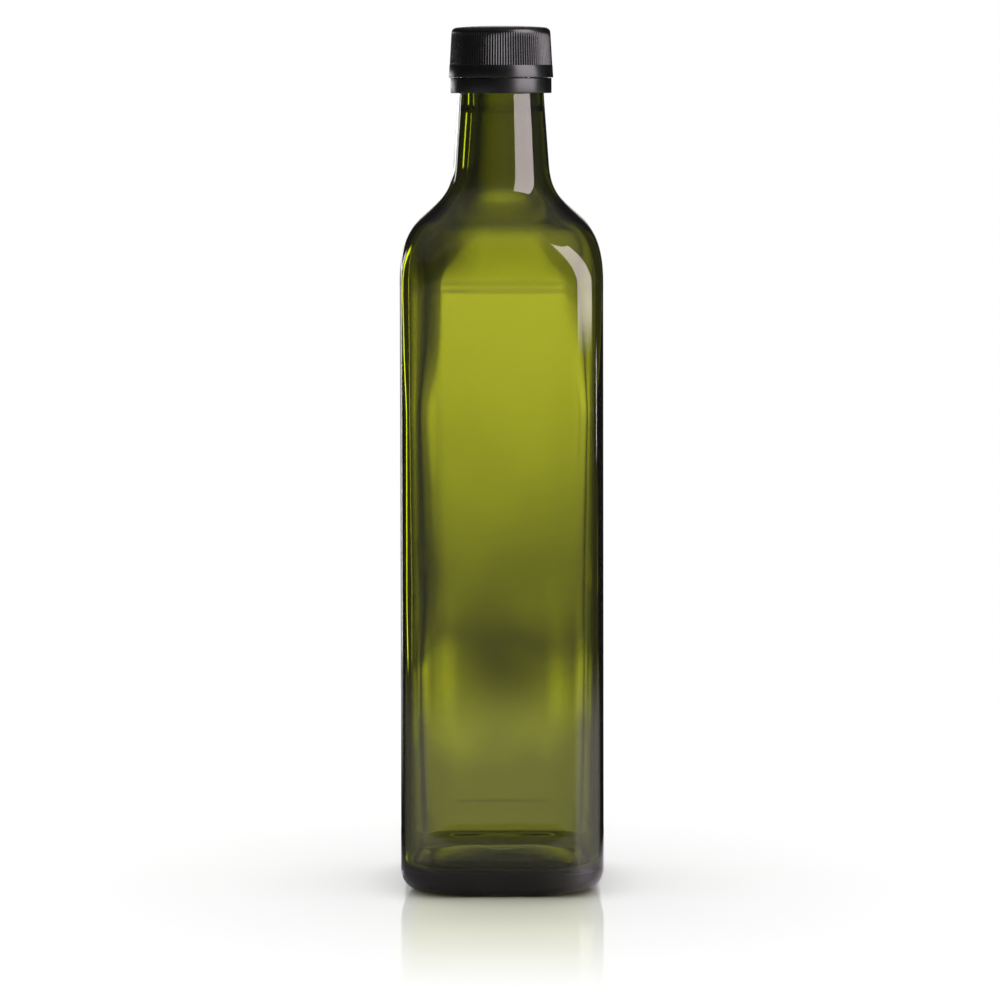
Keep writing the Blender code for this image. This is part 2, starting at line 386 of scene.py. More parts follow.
def evenly(*axes: float) -> Colour:
    """The same pattern scale along all three axes, or one across (X and Y) and one along Z."""
    return (axes[0], axes[0], axes[-1])


@dataclass(frozen=True)
class GreenGlass:
    """Olive-green container glass, smooth and slightly drawn, that soaks up blue light first."""

    name: str = "olive_glass"
    red_loss: float = 138.0
    green_loss: float = 128.0
    blue_loss: float = 820.0
    ior: float = 1.52
    peel_scale: float = 420.0
    peel_depth: float = 0.0000035
    drawn_scale: tuple[float, ...] = (70.0, 14.0)
    drawn_depth: float = 0.00002
    film_scale: tuple[float, ...] = (30.0, 12.0)
    film_from: Point = (0.45, 0.8)
    filmed: Colour = (0.97, 0.975, 0.97)
    haze: float = 0.03
    clear: float = 0.995

    def make(self) -> bpy.types.Material:
        """Makes the material: a clear skin over a body that absorbs.

        Returns:
            The material.
        """
        material = bpy.data.materials.new(self.name)
        tree = Tree(material)
        peel = tree.noise(evenly(self.peel_scale), detail=1.0)
        drawn = tree.noise(evenly(*self.drawn_scale), detail=1.0)
        film = tree.noise(evenly(*self.film_scale), detail=4.0).fade(*self.film_from)
        normal = tree.bump(peel, self.peel_depth, tree.bump(drawn, self.drawn_depth))
        skin = tree.node(
            "ShaderNodeBsdfPrincipled",
            inputs={
                "Base Color": tree.mix(film, (1.0, 1.0, 1.0), self.filmed),
                "Roughness": film * self.haze,
                "IOR": self.ior,
                "Transmission Weight": self.clear,
                "Normal": normal,
            },
        )
        most = max(self.red_loss, self.green_loss, self.blue_loss)
        kept = tuple(1.0 - loss / most for loss in (self.red_loss, self.green_loss, self.blue_loss))
        body = tree.node("ShaderNodeVolumeAbsorption", inputs={"Color": kept, "Density": most})
        tree.node(
            "ShaderNodeOutputMaterial",
            inputs={"Surface": skin.outputs[0], "Volume": body.outputs[0]},
        )
        return material


@dataclass(frozen=True)
class SatinPlastic:
    """Black moulded plastic with a satin skin."""

    name: str
    colour: Colour = (0.0016, 0.0016, 0.0018)
    roughness: float = 0.30
    ior: float = 1.49
    sheen_of_room: Colour = (0.90, 0.957, 0.978)
    grain_scale: float = 5200.0
    grain_depth: float = 0.0000025
    rub_scale: float = 160.0
    rub_from: Point = (0.35, 0.75)
    rub_lightens: float = 1.8
    rub_smooths: float = 0.07

    def make(self) -> bpy.types.Material:
        """Makes the material, with a fine grain and rubbed, slightly glossier patches.

        Returns:
            The material.
        """
        material = bpy.data.materials.new(self.name)
        tree = Tree(material)
        grain = tree.noise(evenly(self.grain_scale), detail=2.0)
        rub = tree.noise(evenly(self.rub_scale), detail=3.0).fade(*self.rub_from)
        lighter = tuple(self.rub_lightens * part for part in self.colour)
        skin = tree.node(
            "ShaderNodeBsdfPrincipled",
            inputs={
                "Base Color": tree.mix(rub, self.colour, lighter),
                "Roughness": self.roughness - self.rub_smooths * rub,
                "IOR": self.ior,
                "Specular Tint": self.sheen_of_room,
                "Normal": tree.bump(grain, self.grain_depth),
            },
        )
        tree.surface(skin)
        return material


class Skin:
    """A closed surface drawn ring by ring round the Z axis, each ring extruded from the last."""

    def __init__(self, segments: int, crowding: float = 0.0) -> None:
        """Starts with one ring of vertices.

        Args:
            segments: How many vertices a ring has.
            crowding: How much closer together they lie at the four corners, from 0 to under 1.
        """
        self.bm = bmesh.new()
        self.first = bmesh.ops.create_circle(self.bm, segments=segments, radius=1.0)["verts"]
        self.last = self.first
        self.edges = self.bm.edges[:]
        for vert in self.first:
            turn = math.atan2(vert.co.y, vert.co.x)
            turn += crowding * math.sin(4.0 * turn) / 4.0
            vert.co = around(1.0, turn, 0.0)

    def shape(self, point: Callable[[float], Vector]) -> list[bmesh.types.BMVert]:
        """Moves the last ring's vertices to where a function of their polar angle says."""
        for vert in self.last:
            vert.co = point(math.atan2(vert.co.y, vert.co.x))
        return self.last

    def draw(self, point: Callable[[float], Vector]) -> list[bmesh.types.BMVert]:
        """Extrudes the last ring and moves the new vertices.

        Args:
            point: Gives a vertex's place from its polar angle.

        Returns:
            The new ring's vertices.
        """
        made = bmesh.ops.extrude_edge_only(self.bm, edges=self.edges)["geom"]
        self.last = [part for part in made if isinstance(part, bmesh.types.BMVert)]
        self.edges = [part for part in made if isinstance(part, bmesh.types.BMEdge)]
        return self.shape(point)

    def close(self, first_height: float, last_height: float) -> None:
        """Draws the first and the last ring together on the axis."""
        for ring, height in ((self.first, first_height), (self.last, last_height)):
            bmesh.ops.pointmerge(self.bm, verts=ring, merge_co=Vector((0.0, 0.0, height)))

    def finish(self, name: str, sharp: float = 40.0) -> bpy.types.Object:
        """Turns the surface into an object with its faces outwards.

        Args:
            name: The object's name.
            sharp: Edges that bend more than this stay sharp.

        Returns:
            The object, linked to the scene.
        """
        bmesh.ops.recalc_face_normals(self.bm, faces=self.bm.faces[:])
        made = hand_over(self.bm, name)
        made.data.shade_smooth()
        made.data.set_sharp_from_angle(angle=math.radians(sharp))
        return made


@dataclass(frozen=True)
class Station:
    """One level section of the glass: a rounded square, or a circle where both sizes are the same."""

    height: float
    half_width: float
    corner: float
    left_extra: float = 0.0

    @classmethod
    def round(cls, height: float, radius: float) -> Station:
        """A round section."""
        return cls(height, radius, radius)

    def point(self, turn: float) -> Vector:
        """A point of the outline.

        Args:
            turn: Its polar angle in radians.

        Returns:
            The point.
        """
        c, s = abs(math.cos(turn)), abs(math.sin(turn))
        c, s = max(c, s), min(c, s)
        corner = self.corner + (self.left_extra if math.cos(turn) < 0.0 else 0.0)
        centre = self.half_width - corner
        if self.half_width * s <= centre * c:
            reach = self.half_width / c
        else:
            along = centre * (c + s)
            inside = along * along - 2.0 * centre * centre + corner**2
            reach = along + math.sqrt(max(inside, 0.0))
        return around(reach, turn, self.height)


@dataclass
class GlassBottle:
    """The blown glass: a square body with label panels, a rounded shoulder and a round neck."""

    foot_half_width: float = 0.0335
    shoulder_half_width: float = 0.0332
    corner: float = 0.0120
    heel_reach: float = 0.0055
    heel_height: float = 0.0090
    bearing_corner: float = 0.0220
    bearing_breadth: float = 0.0038
    push_up: float = 0.0030
    panel_bottom: float = 0.0204
    panel_top: float = 0.2002
    panel_half_width: float = 0.0245
    panel_plane: float = 0.0331
    panel_edge: float = 0.0018
    panel_side: float = 0.0100
    panel_sill: float = 0.0026
    shoulder_start: float = 0.2010
    shoulder_meeting: Point = (0.2221, 0.0266)
    shoulder_angle: float = 47.5
    neck_foot: Point = (0.2397, 0.01575)
    neck_taper: float = 0.072
    body_handle: float = 0.0083
    upper_handle: float = 0.0079
    lower_handle: float = 0.0092
    neck_handle: float = 0.0096
    round_from: float = 0.2010
    round_at: float = 0.2320
    finish_foot: float = 0.2635
    lip_radius: float = 0.0008
    walls: tuple[Point, ...] = (
        (0.000, 0.0034),
        (0.100, 0.0035),
        (0.198, 0.0026),
        (0.222, 0.0031),
        (0.240, 0.0046),
        (0.256, 0.0045),
    )
    bore_radius: float = 0.0093
    bore_step_top: float = 0.2592
    bore_step_foot: float = 0.2563
    inner_corners: tuple[Point, ...] = (
        (0.012, 0.0090),
        (0.050, 0.0078),
        (0.160, 0.0070),
        (0.200, 0.0108),
    )
    left_extras: tuple[Point, ...] = (
        (0.076, 0.0),
        (0.098, 0.0011),
        (0.180, 0.0011),
        (0.200, 0.0),
    )
    floor_height: float = 0.0072
    floor_crown: float = 0.0034
    floor_fillet: float = 0.0045
    segments: int = 288
    crowding: float = 0.45
    level_gap: float = 0.0036
    shoulder_steps: int = 20
    round_steps: int = 10
    rim_steps: int = 6
    wander: float = 0.00010
    slow_wander: Point = (45.0, 22.0)
    quick_wander: Point = (120.0, 60.0)
    quick_shift: float = 7.0
    quick_share: float = 0.35
    sharp_angle: float = 60.0

    def __post_init__(self) -> None:
        """Takes the height of the mouth from the frame."""
        self.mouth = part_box("bottle")[1].z

    def body_half_width(self, height: float) -> float:
        """The body's half width, which grows slightly towards the foot."""
        share = min(height / self.shoulder_start, 1.0)
        return self.foot_half_width + (self.shoulder_half_width - self.foot_half_width) * share

    def neck_radius(self, height: float) -> float:
        """The neck's outer radius above its foot."""
        return self.neck_foot[1] - (min(height, self.finish_foot) - self.neck_foot[0]) * self.neck_taper

    def rounded(self, height: float, half_width: float, corner: float) -> Station:
        """A section whose corners open out to a full circle between the shoulder and the neck."""
        share = smooth_share(height, self.round_from, self.round_at)
        return Station(height, half_width, corner + (half_width - corner) * share)

    def shoulder_outline(self) -> list[Point]:
        """The outline from the top of the body to the foot of the neck.

        Returns:
            Pairs of height and half width.
        """
        rise = math.cos(math.radians(self.shoulder_angle))
        run = math.sin(math.radians(self.shoulder_angle))
        height, half_width = self.shoulder_meeting
        body = (
            (self.shoulder_start, self.shoulder_half_width),
            (self.shoulder_start + self.body_handle, self.shoulder_half_width),
            (height - self.upper_handle * rise, half_width + self.upper_handle * run),
            self.shoulder_meeting,
        )
        foot_height, foot_radius = self.neck_foot
        neck = (
            self.shoulder_meeting,
            (height + self.lower_handle * rise, half_width - self.lower_handle * run),
            (foot_height - self.neck_handle, foot_radius + self.neck_handle * self.neck_taper),
            self.neck_foot,
        )
        lower, upper = (
            interpolate_bezier(*(Vector((*knot, 0.0)) for knot in knots), self.shoulder_steps)
            for knots in (body, neck)
        )
        return [(point.x, point.y) for point in lower + upper[1:]]

    def levels(self, bottom: float, top: float) -> list[float]:
        """Evenly spaced heights from bottom to top, both included, about a level gap apart."""
        count = max(round(abs(top - bottom) / self.level_gap), 1)
        return [bottom + (top - bottom) * i / count for i in range(count + 1)]

    def panel_heights(self) -> list[float]:
        """Heights on the straight body, close together where a panel's edge runs across."""
        rims = []
        for start, rise in (
            (self.panel_bottom, self.panel_sill),
            (self.panel_top - self.panel_edge, self.panel_edge),
        ):
            rims.append([start + rise * i / self.rim_steps for i in range(self.rim_steps + 1)])
        between = self.levels(rims[0][-1], rims[1][0])[1:-1]
        below = self.levels(self.heel_height, self.panel_bottom)[1:-1]
        return below + rims[0] + between + rims[1]

    def underside(self) -> list[Station]:
        """Sections of the hollowed underside, from the middle out to the bearing ring."""
        outline = self.foot_half_width - self.heel_reach - self.bearing_breadth
        corner = self.bearing_corner - self.bearing_breadth
        shares = [i / self.round_steps for i in range(1, self.round_steps + 1)]
        return [
            Station(self.push_up * (1.0 - share * share), outline * share, corner * share)
            for share in shares
        ]

    def outside(self) -> list[Station]:
        """Sections of the outer surface, from the bearing ring up to the lip."""
        made = []
        for sine, cosine in quarter_turn(self.round_steps):
            height = self.heel_height * (1.0 - cosine)
            half_width = self.foot_half_width - self.heel_reach * (1.0 - sine)
            spread = (self.bearing_corner - self.corner) * (1.0 - sine)
            made.append(Station(height, half_width, self.corner + spread))
        for height in self.panel_heights():
            made.append(Station(height, self.body_half_width(height), self.corner))
        for height, half_width in self.shoulder_outline():
            made.append(self.rounded(height, half_width, self.corner))
        for height in self.levels(self.neck_foot[0], self.mouth - self.lip_radius)[1:]:
            made.append(Station.round(height, self.neck_radius(height)))
        return made + [Station.round(self.mouth, self.neck_radius(self.mouth) - self.lip_radius)]

    def inside(self) -> list[Station]:
        """Sections of the inner surface, from the lip down to the floor."""
        made = [Station.round(self.mouth, self.bore_radius + self.lip_radius)]
        for height in self.levels(self.mouth - self.lip_radius, self.bore_step_top):
            made.append(Station.round(height, self.bore_radius))
        step_radius = self.neck_radius(self.bore_step_foot) - stepwise(self.bore_step_foot, self.walls)
        for step in range(1, self.round_steps + 1):
            share = step / self.round_steps
            height = self.bore_step_top + (self.bore_step_foot - self.bore_step_top) * share
            radius = self.bore_radius + (step_radius - self.bore_radius) * smooth_share(share, 0.0, 1.0)
            made.append(Station.round(height, radius))
        outline = [(height, self.neck_radius(height)) for height in self.neck_heights()]
        outline += list(reversed(self.shoulder_outline()))
        for after, here in zip(outline, outline[1:]):
            along = Vector((after[0] - here[0], after[1] - here[1])).normalized()
            wall = stepwise(after[0], self.walls)
            height = after[0] + along.y * wall
            corner = stepwise(height, self.inner_corners)
            made.append(self.rounded(height, after[1] - along.x * wall, corner))
        for height in self.levels(self.shoulder_start, self.floor_height + self.floor_fillet):
            half_width = self.body_half_width(height) - stepwise(height, self.walls)
            corner = stepwise(height, self.inner_corners)
            made.append(Station(height, half_width, corner, stepwise(height, self.left_extras)))
        foot = made[-1].half_width
        for sine, cosine in quarter_turn(self.round_steps, first=1):
            height = self.floor_height + self.floor_fillet * (1.0 - sine)
            half_width = foot - self.floor_fillet * (1.0 - cosine)
            made.append(Station(height, half_width, stepwise(height, self.inner_corners)))
        flat = made[-1]
        for step in range(1, self.round_steps):
            share = 1.0 - step / self.round_steps
            height = flat.height + self.floor_crown * (1.0 - share * share)
            made.append(Station(height, flat.half_width * share, flat.corner * share))
        return made

    def neck_heights(self) -> list[float]:
        """Heights on the neck's inner wall, from under the bore's step down to the neck's foot."""
        return self.levels(self.bore_step_foot, self.neck_foot[0])[1:-1]

    def press_panels(self, verts: Iterable[bmesh.types.BMVert]) -> None:
        """Sinks the label panel into each flat face.

        Args:
            verts: The outer surface's vertices.
        """
        for vert in verts:
            x, y, height = vert.co
            across = min(abs(x), abs(y))
            side = smooth_share(across, self.panel_half_width, self.panel_half_width - self.panel_side)
            foot = smooth_share(height, self.panel_bottom, self.panel_bottom + self.panel_sill)
            top = smooth_share(height, self.panel_top, self.panel_top - self.panel_edge)
            depth = (self.body_half_width(height) - self.panel_plane) * side * foot * top
            if abs(x) >= abs(y):
                vert.co.x -= math.copysign(depth, x)
            else:
                vert.co.y -= math.copysign(depth, y)

    def wander_inside(self, verts: Iterable[bmesh.types.BMVert]) -> None:
        """Lets the inner wall wander as blown glass does, since no mould shapes it.

        Args:
            verts: The inner surface's vertices.
        """
        across, along = self.slow_wander
        near, far = self.quick_wander
        for vert in verts:
            x, y, height = vert.co
            if height > self.bore_step_foot:
                continue
            slow = noise.noise(Vector((x * across, y * across, height * along)))
            quick = noise.noise(Vector((x * near, y * near, height * far + self.quick_shift)))
            outwards = Vector((x, y, 0.0)).normalized()
            vert.co += outwards * self.wander * (slow + self.quick_share * quick)

    def build(self) -> bpy.types.Object:
        """Draws the glass as one skin, from under the foot over the lip to the inner floor.

        Returns:
            The glass.
        """
        skin = Skin(self.segments, self.crowding)
        sections = {Wall.OUTSIDE: self.underside() + self.outside(), Wall.INSIDE: self.inside()}
        verts: dict[Wall, list[bmesh.types.BMVert]] = {wall: [] for wall in Wall}
        skin.shape(sections[Wall.OUTSIDE][0].point)
        for wall, stations in sections.items():
            for station in stations:
                verts[wall] += skin.draw(station.point)
        self.press_panels(verts[Wall.OUTSIDE])
        self.wander_inside(verts[Wall.INSIDE])
        skin.close(self.push_up, self.floor_height + self.floor_crown)
        return skin.finish("glass_body", self.sharp_angle)

    def dress(self, made: bpy.types.Object) -> None:
        """Gives the glass its material and its place in the frame."""
        made.data.materials.append(GreenGlass().make())
        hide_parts("bottle")
        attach(made, BODY)


@dataclass
class ScrewCap:
    """The screw cap: a closed cup with fine upright ribs over a plain band."""

    top_radius: float = 0.0163
    crown: float = 0.0005
    edge_radius: float = 0.0018
    rib_count: int = 120
    rib_depth: float = 0.00022
    rib_top: float = 0.2826
    rib_foot: float = 0.2723
    rib_foot_radius: float = 0.0169
    band_top_radius: float = 0.0170
    band_foot_radius: float = 0.0172
    foot_round: float = 0.0002
    bore_radius: float = 0.0151
    ceiling: float = 0.2834
    points_per_rib: int = 8
    groove_power: float = 1.5
    top_shares: tuple[float, ...] = (0.25, 0.5, 0.75, 0.9)
    rib_shares: tuple[float, ...] = (0.05, 0.15, 0.5, 0.9, 1.0)
    rib_fade: Point = (0.0004, -0.0008)
    ledge_drops: tuple[float, ...] = (0.00005, 0.00012, 0.00025)
    ledge_round: float = 0.00008
    edge_steps: int = 8
    foot_steps: int = 4
    drop: float = 0.0002

    def __post_init__(self) -> None:
        """Takes the heights of the top and the foot from the frame."""
        low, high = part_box("cap")
        self.foot, self.top = low.z - self.drop, high.z

    def ring(self, height: float, radius: float, depth: float = 0.0) -> Callable[[float], Vector]:
        """A ring of the cap.

        Args:
            height: Its height.
            radius: Its radius over the ribs.
            depth: How deep the grooves between the ribs are there.

        Returns:
            A function that gives a vertex's place from its polar angle.
        """

        def point(turn: float) -> Vector:
            """The ring's point at a polar angle."""
            groove = 0.5 - 0.5 * math.cos(self.rib_count * turn)
            return around(radius - depth * groove**self.groove_power, turn, height)

        return point

    def outside(self) -> list[Callable[[float], Vector]]:
        """Rings from the middle of the top down to the foot.

        Returns:
            Their functions.
        """
        edge = self.top - self.crown
        flat = self.top_radius - self.edge_radius
        made = []
        for share in self.top_shares:
            made.append(self.ring(self.top - self.crown * share**3, flat * share))
        fade_from, fade_to = (self.rib_top + off for off in self.rib_fade)
        for sine, cosine in quarter_turn(self.edge_steps):
            height = edge - self.edge_radius * (1.0 - cosine)
            depth = self.rib_depth * smooth_share(height, fade_from, fade_to)
            made.append(self.ring(height, flat + self.edge_radius * sine, depth))
        start = edge - self.edge_radius
        for share in self.rib_shares:
            height = start + (self.rib_foot - start) * share
            radius = self.top_radius + (self.rib_foot_radius - self.top_radius) * share
            made.append(self.ring(height, radius, self.rib_depth))
        ribs_end, ledge, band = (self.rib_foot - drop for drop in self.ledge_drops)
        made.append(self.ring(ribs_end, self.rib_foot_radius, self.rib_depth))
        made.append(self.ring(ledge, self.band_top_radius - self.ledge_round))
        made.append(self.ring(band, self.band_top_radius))
        for sine, cosine in quarter_turn(self.foot_steps):
            radius = self.band_foot_radius - self.foot_round * (1.0 - cosine)
            made.append(self.ring(self.foot + self.foot_round * (1.0 - sine), radius))
        return made

    def inside(self) -> list[Callable[[float], Vector]]:
        """Rings from the foot's inner edge up the bore and in under the ceiling.

        Returns:
            Their functions.
        """
        return [
            circle(self.bore_radius + self.foot_round, self.foot),
            circle(self.bore_radius, self.foot + self.foot_round),
            circle(self.bore_radius, self.ceiling - self.foot_round),
            circle(self.bore_radius - self.foot_round, self.ceiling),
            circle(self.bore_radius / 2.0, self.ceiling),
        ]

    def build(self) -> bpy.types.Object:
        """Draws the cap as one skin.

        Returns:
            The cap.
        """
        skin = Skin(self.rib_count * self.points_per_rib)
        rings = self.outside() + self.inside()
        skin.shape(rings[0])
        for ring in rings:
            skin.draw(ring)
        skin.close(self.top, self.ceiling)
        return skin.finish("screw_cap")

    def dress(self, made: bpy.types.Object) -> None:
        """Gives the cap its material and its place in the frame."""
        made.data.materials.append(SatinPlastic("cap_plastic").make())
        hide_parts("cap")
        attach(made, BODY)


@dataclass
class TamperRing:
    """The ring that stays on the neck, with the small bridges that tie it to the cap."""

    radius: float = 0.01665
    bore_radius: float = 0.0150
    edge_radius: float = 0.0003
    bridge_count: int = 8
    bridge_width: float = 5.0
    bridge_height: float = 0.00008
    segments: int = 288
    edge_steps: int = 4
    level_from: float = 0.99
    top_slack: float = 0.00001

    def __post_init__(self) -> None:
        """Takes the heights of the ring from the frame."""
        low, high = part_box("tamper_ring")
        self.foot, self.top = low.z, high.z

    def profile(self) -> list[Point]:
        """The turned outline, from the inner top edge out, down and back to where it starts.

        Returns:
            Pairs of radius and height.
        """
        corner = self.edge_radius
        made = [(self.bore_radius, self.top)]
        for height, start in ((self.top - corner, 0.0), (self.foot + corner, RIGHT_ANGLE)):
            for step in range(self.edge_steps + 1):
                turn = math.radians(start + RIGHT_ANGLE * step / self.edge_steps)
                radius = self.radius - corner + corner * math.sin(turn)
                made.append((radius, height + corner * math.cos(turn)))
        return made + [(self.bore_radius, self.foot), (self.bore_radius, self.top)]

    def raise_bridges(self, bm: bmesh.types.BMesh) -> None:
        """Extrudes the bridges from the ring's flat top."""
        chosen = []
        for face in bm.faces:
            middle = face.calc_center_median()
            place = math.degrees(math.atan2(middle.y, middle.x)) * self.bridge_count / FULL_TURN
            off = abs(place - math.floor(place) - 0.5) * FULL_TURN / self.bridge_count
            level = abs(face.normal.z) > self.level_from and middle.z > self.top - self.top_slack
            if level and off < self.bridge_width / 2.0:
                chosen.append(face)
        made = bmesh.ops.extrude_face_region(bm, geom=chosen)["geom"]
        raised = [part for part in made if isinstance(part, bmesh.types.BMVert)]
        bmesh.ops.translate(bm, verts=raised, vec=Vector((0.0, 0.0, self.bridge_height)))
        bmesh.ops.delete(bm, geom=chosen, context="FACES_ONLY")

    def build(self) -> bpy.types.Object:
        """Draws the ring and raises its bridges.

        Returns:
            The ring.
        """
        skin = Skin(self.segments)
        rings = [circle(radius, height) for radius, height in self.profile()]
        skin.shape(rings[0])
        for ring in rings[1:]:
            skin.draw(ring)
        bmesh.ops.remove_doubles(skin.bm, verts=skin.first + skin.last, dist=MERGE_DISTANCE)
        bmesh.ops.recalc_face_normals(skin.bm, faces=skin.bm.faces[:])
        self.raise_bridges(skin.bm)
        return skin.finish("tamper_band")

    def dress(self, made: bpy.types.Object) -> None:
        """Gives the ring its material and its place in the frame."""
        made.data.materials.append(SatinPlastic("ring_plastic").make())
        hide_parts("tamper_ring")
        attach(made, BODY)


@dataclass
class LightPanel:
    """An upright curved panel of even light round the bottle, with soft edges.

    Attributes:
        name: Its name.
        azimuth: Where its middle stands.
        half_angle: Half of the angle that it spans.
        foot: The height of its lower edge.
        head: The height of its upper edge.
        strength: How bright it is.
        colour: The colour of its light.
        soft_side: The angle over which it fades out towards its sides.
        soft_foot: The height over which it fades out towards its foot.
        soft_head: The height over which it fades out towards its head.
        distance: How far it stands from the bottle's axis.
        through: The share of its strength that light through the glass finds.
        steps: How many flat strips make up its curve.
        seen_by: The rays that can see it.
    """

    name: str
    azimuth: float
    half_angle: float
    foot: float
    head: float
    strength: float
    colour: Colour = (1.0, 1.0, 1.0)
    soft_side: float = 2.0
    soft_foot: float = 0.02
    soft_head: float = 0.02
    distance: float = 1.0
    through: float = 1.0
    steps: int = 24
    seen_by: tuple[Ray, ...] = (Ray.GLOSSY, Ray.TRANSMISSION)

    def glow(self) -> bpy.types.Material:
        """Makes the panel's light, which fades out towards its four edges.

        Returns:
            The material.
        """
        material = bpy.data.materials.new(self.name)
        tree = Tree(material)
        x, y, height = tree.split(tree.place())
        middle = math.radians(self.azimuth - RIGHT_ANGLE)
        cosine = (x * math.cos(middle) + y * math.sin(middle)) / self.distance
        off = tree.maths("ARCCOSINE", tree.maths("MINIMUM", cosine, 1.0)) * math.degrees(1.0)
        sides = off.fade(self.half_angle, self.half_angle - self.soft_side)
        ends = height.fade(self.foot, self.foot + self.soft_foot) * height.fade(
            self.head, self.head - self.soft_head
        )
        passed = Value(tree, tree.node("ShaderNodeLightPath").outputs["Is Transmission Ray"])
        tree.cover(sides * ends, self.colour, self.strength * (1.0 - (1.0 - self.through) * passed))
        return material

    def build(self) -> bpy.types.Object:
        """Spins an upright edge round the bottle's axis.

        Returns:
            The panel.
        """
        bm = bmesh.new()
        start = math.radians(self.azimuth - RIGHT_ANGLE - self.half_angle)
        verts = [bm.verts.new(around(self.distance, start, height)) for height in (self.foot, self.head)]
        edge = bm.edges.new(verts)
        bmesh.ops.spin(
            bm,
            geom=[*verts, edge],
            cent=Vector(),
            axis=Vector((0.0, 0.0, 1.0)),
            angle=math.radians(2.0 * self.half_angle),
            steps=self.steps,
            use_merge=False,
        )
        made = hand_over(bm, self.name, self.glow())
        Ray.limit(made, self.seen_by)
        return made


@dataclass
class Flag:
    """A dark card with a soft edge, behind the bottle, that only light through the glass finds: painted
    shade in what the glass shows.

    Attributes:
        name: Its name.
        away: How far behind the bottle's axis it stands.
        across: Where its middle is along X.
        middle: Where its middle is along Z.
        half_width: Half its width.
        half_height: Half its height.
        dark: How much of the light behind it the card takes, from 0 to 1.
        soft: The share of its half width and half height over which it fades out.
        oval: Whether it fades out as an oval.
    """

    name: str
    away: float
    across: float
    middle: float
    half_width: float
    half_height: float
    dark: float
    soft: Point
    oval: bool = False

    def shade(self) -> bpy.types.Material:
        """Makes the card's material, which paints shade: black, and clear towards its edge.

        Returns:
            The material.
        """
        material = bpy.data.materials.new(self.name)
        tree = Tree(material)
        x, _, height = tree.split(tree.place())
        across = abs(x - self.across) / self.half_width
        along = abs(height - self.middle) / self.half_height
        soft_across, soft_along = self.soft
        if self.oval:
            cover = ((across**2.0 + along**2.0) ** 0.5).fade(1.0, 1.0 - soft_across)
        else:
            cover = across.fade(1.0, 1.0 - soft_across) * along.fade(1.0, 1.0 - soft_along)
        tree.cover(cover * self.dark, (0.0, 0.0, 0.0), 0.0)
        return material

    def build(self) -> bpy.types.Object:
        """Cuts the card and stands it up.

        Returns:
            The card.
        """
        bm = bmesh.new()
        bmesh.ops.create_grid(bm, x_segments=1, y_segments=1, size=1.0)
        for vert in bm.verts:
            x, z, _ = vert.co
            vert.co = (
                self.across + self.half_width * x,
                self.away,
                self.middle + self.half_height * z,
            )
        made = hand_over(bm, self.name, self.shade())
        Ray.limit(made, (Ray.TRANSMISSION,))
        return made


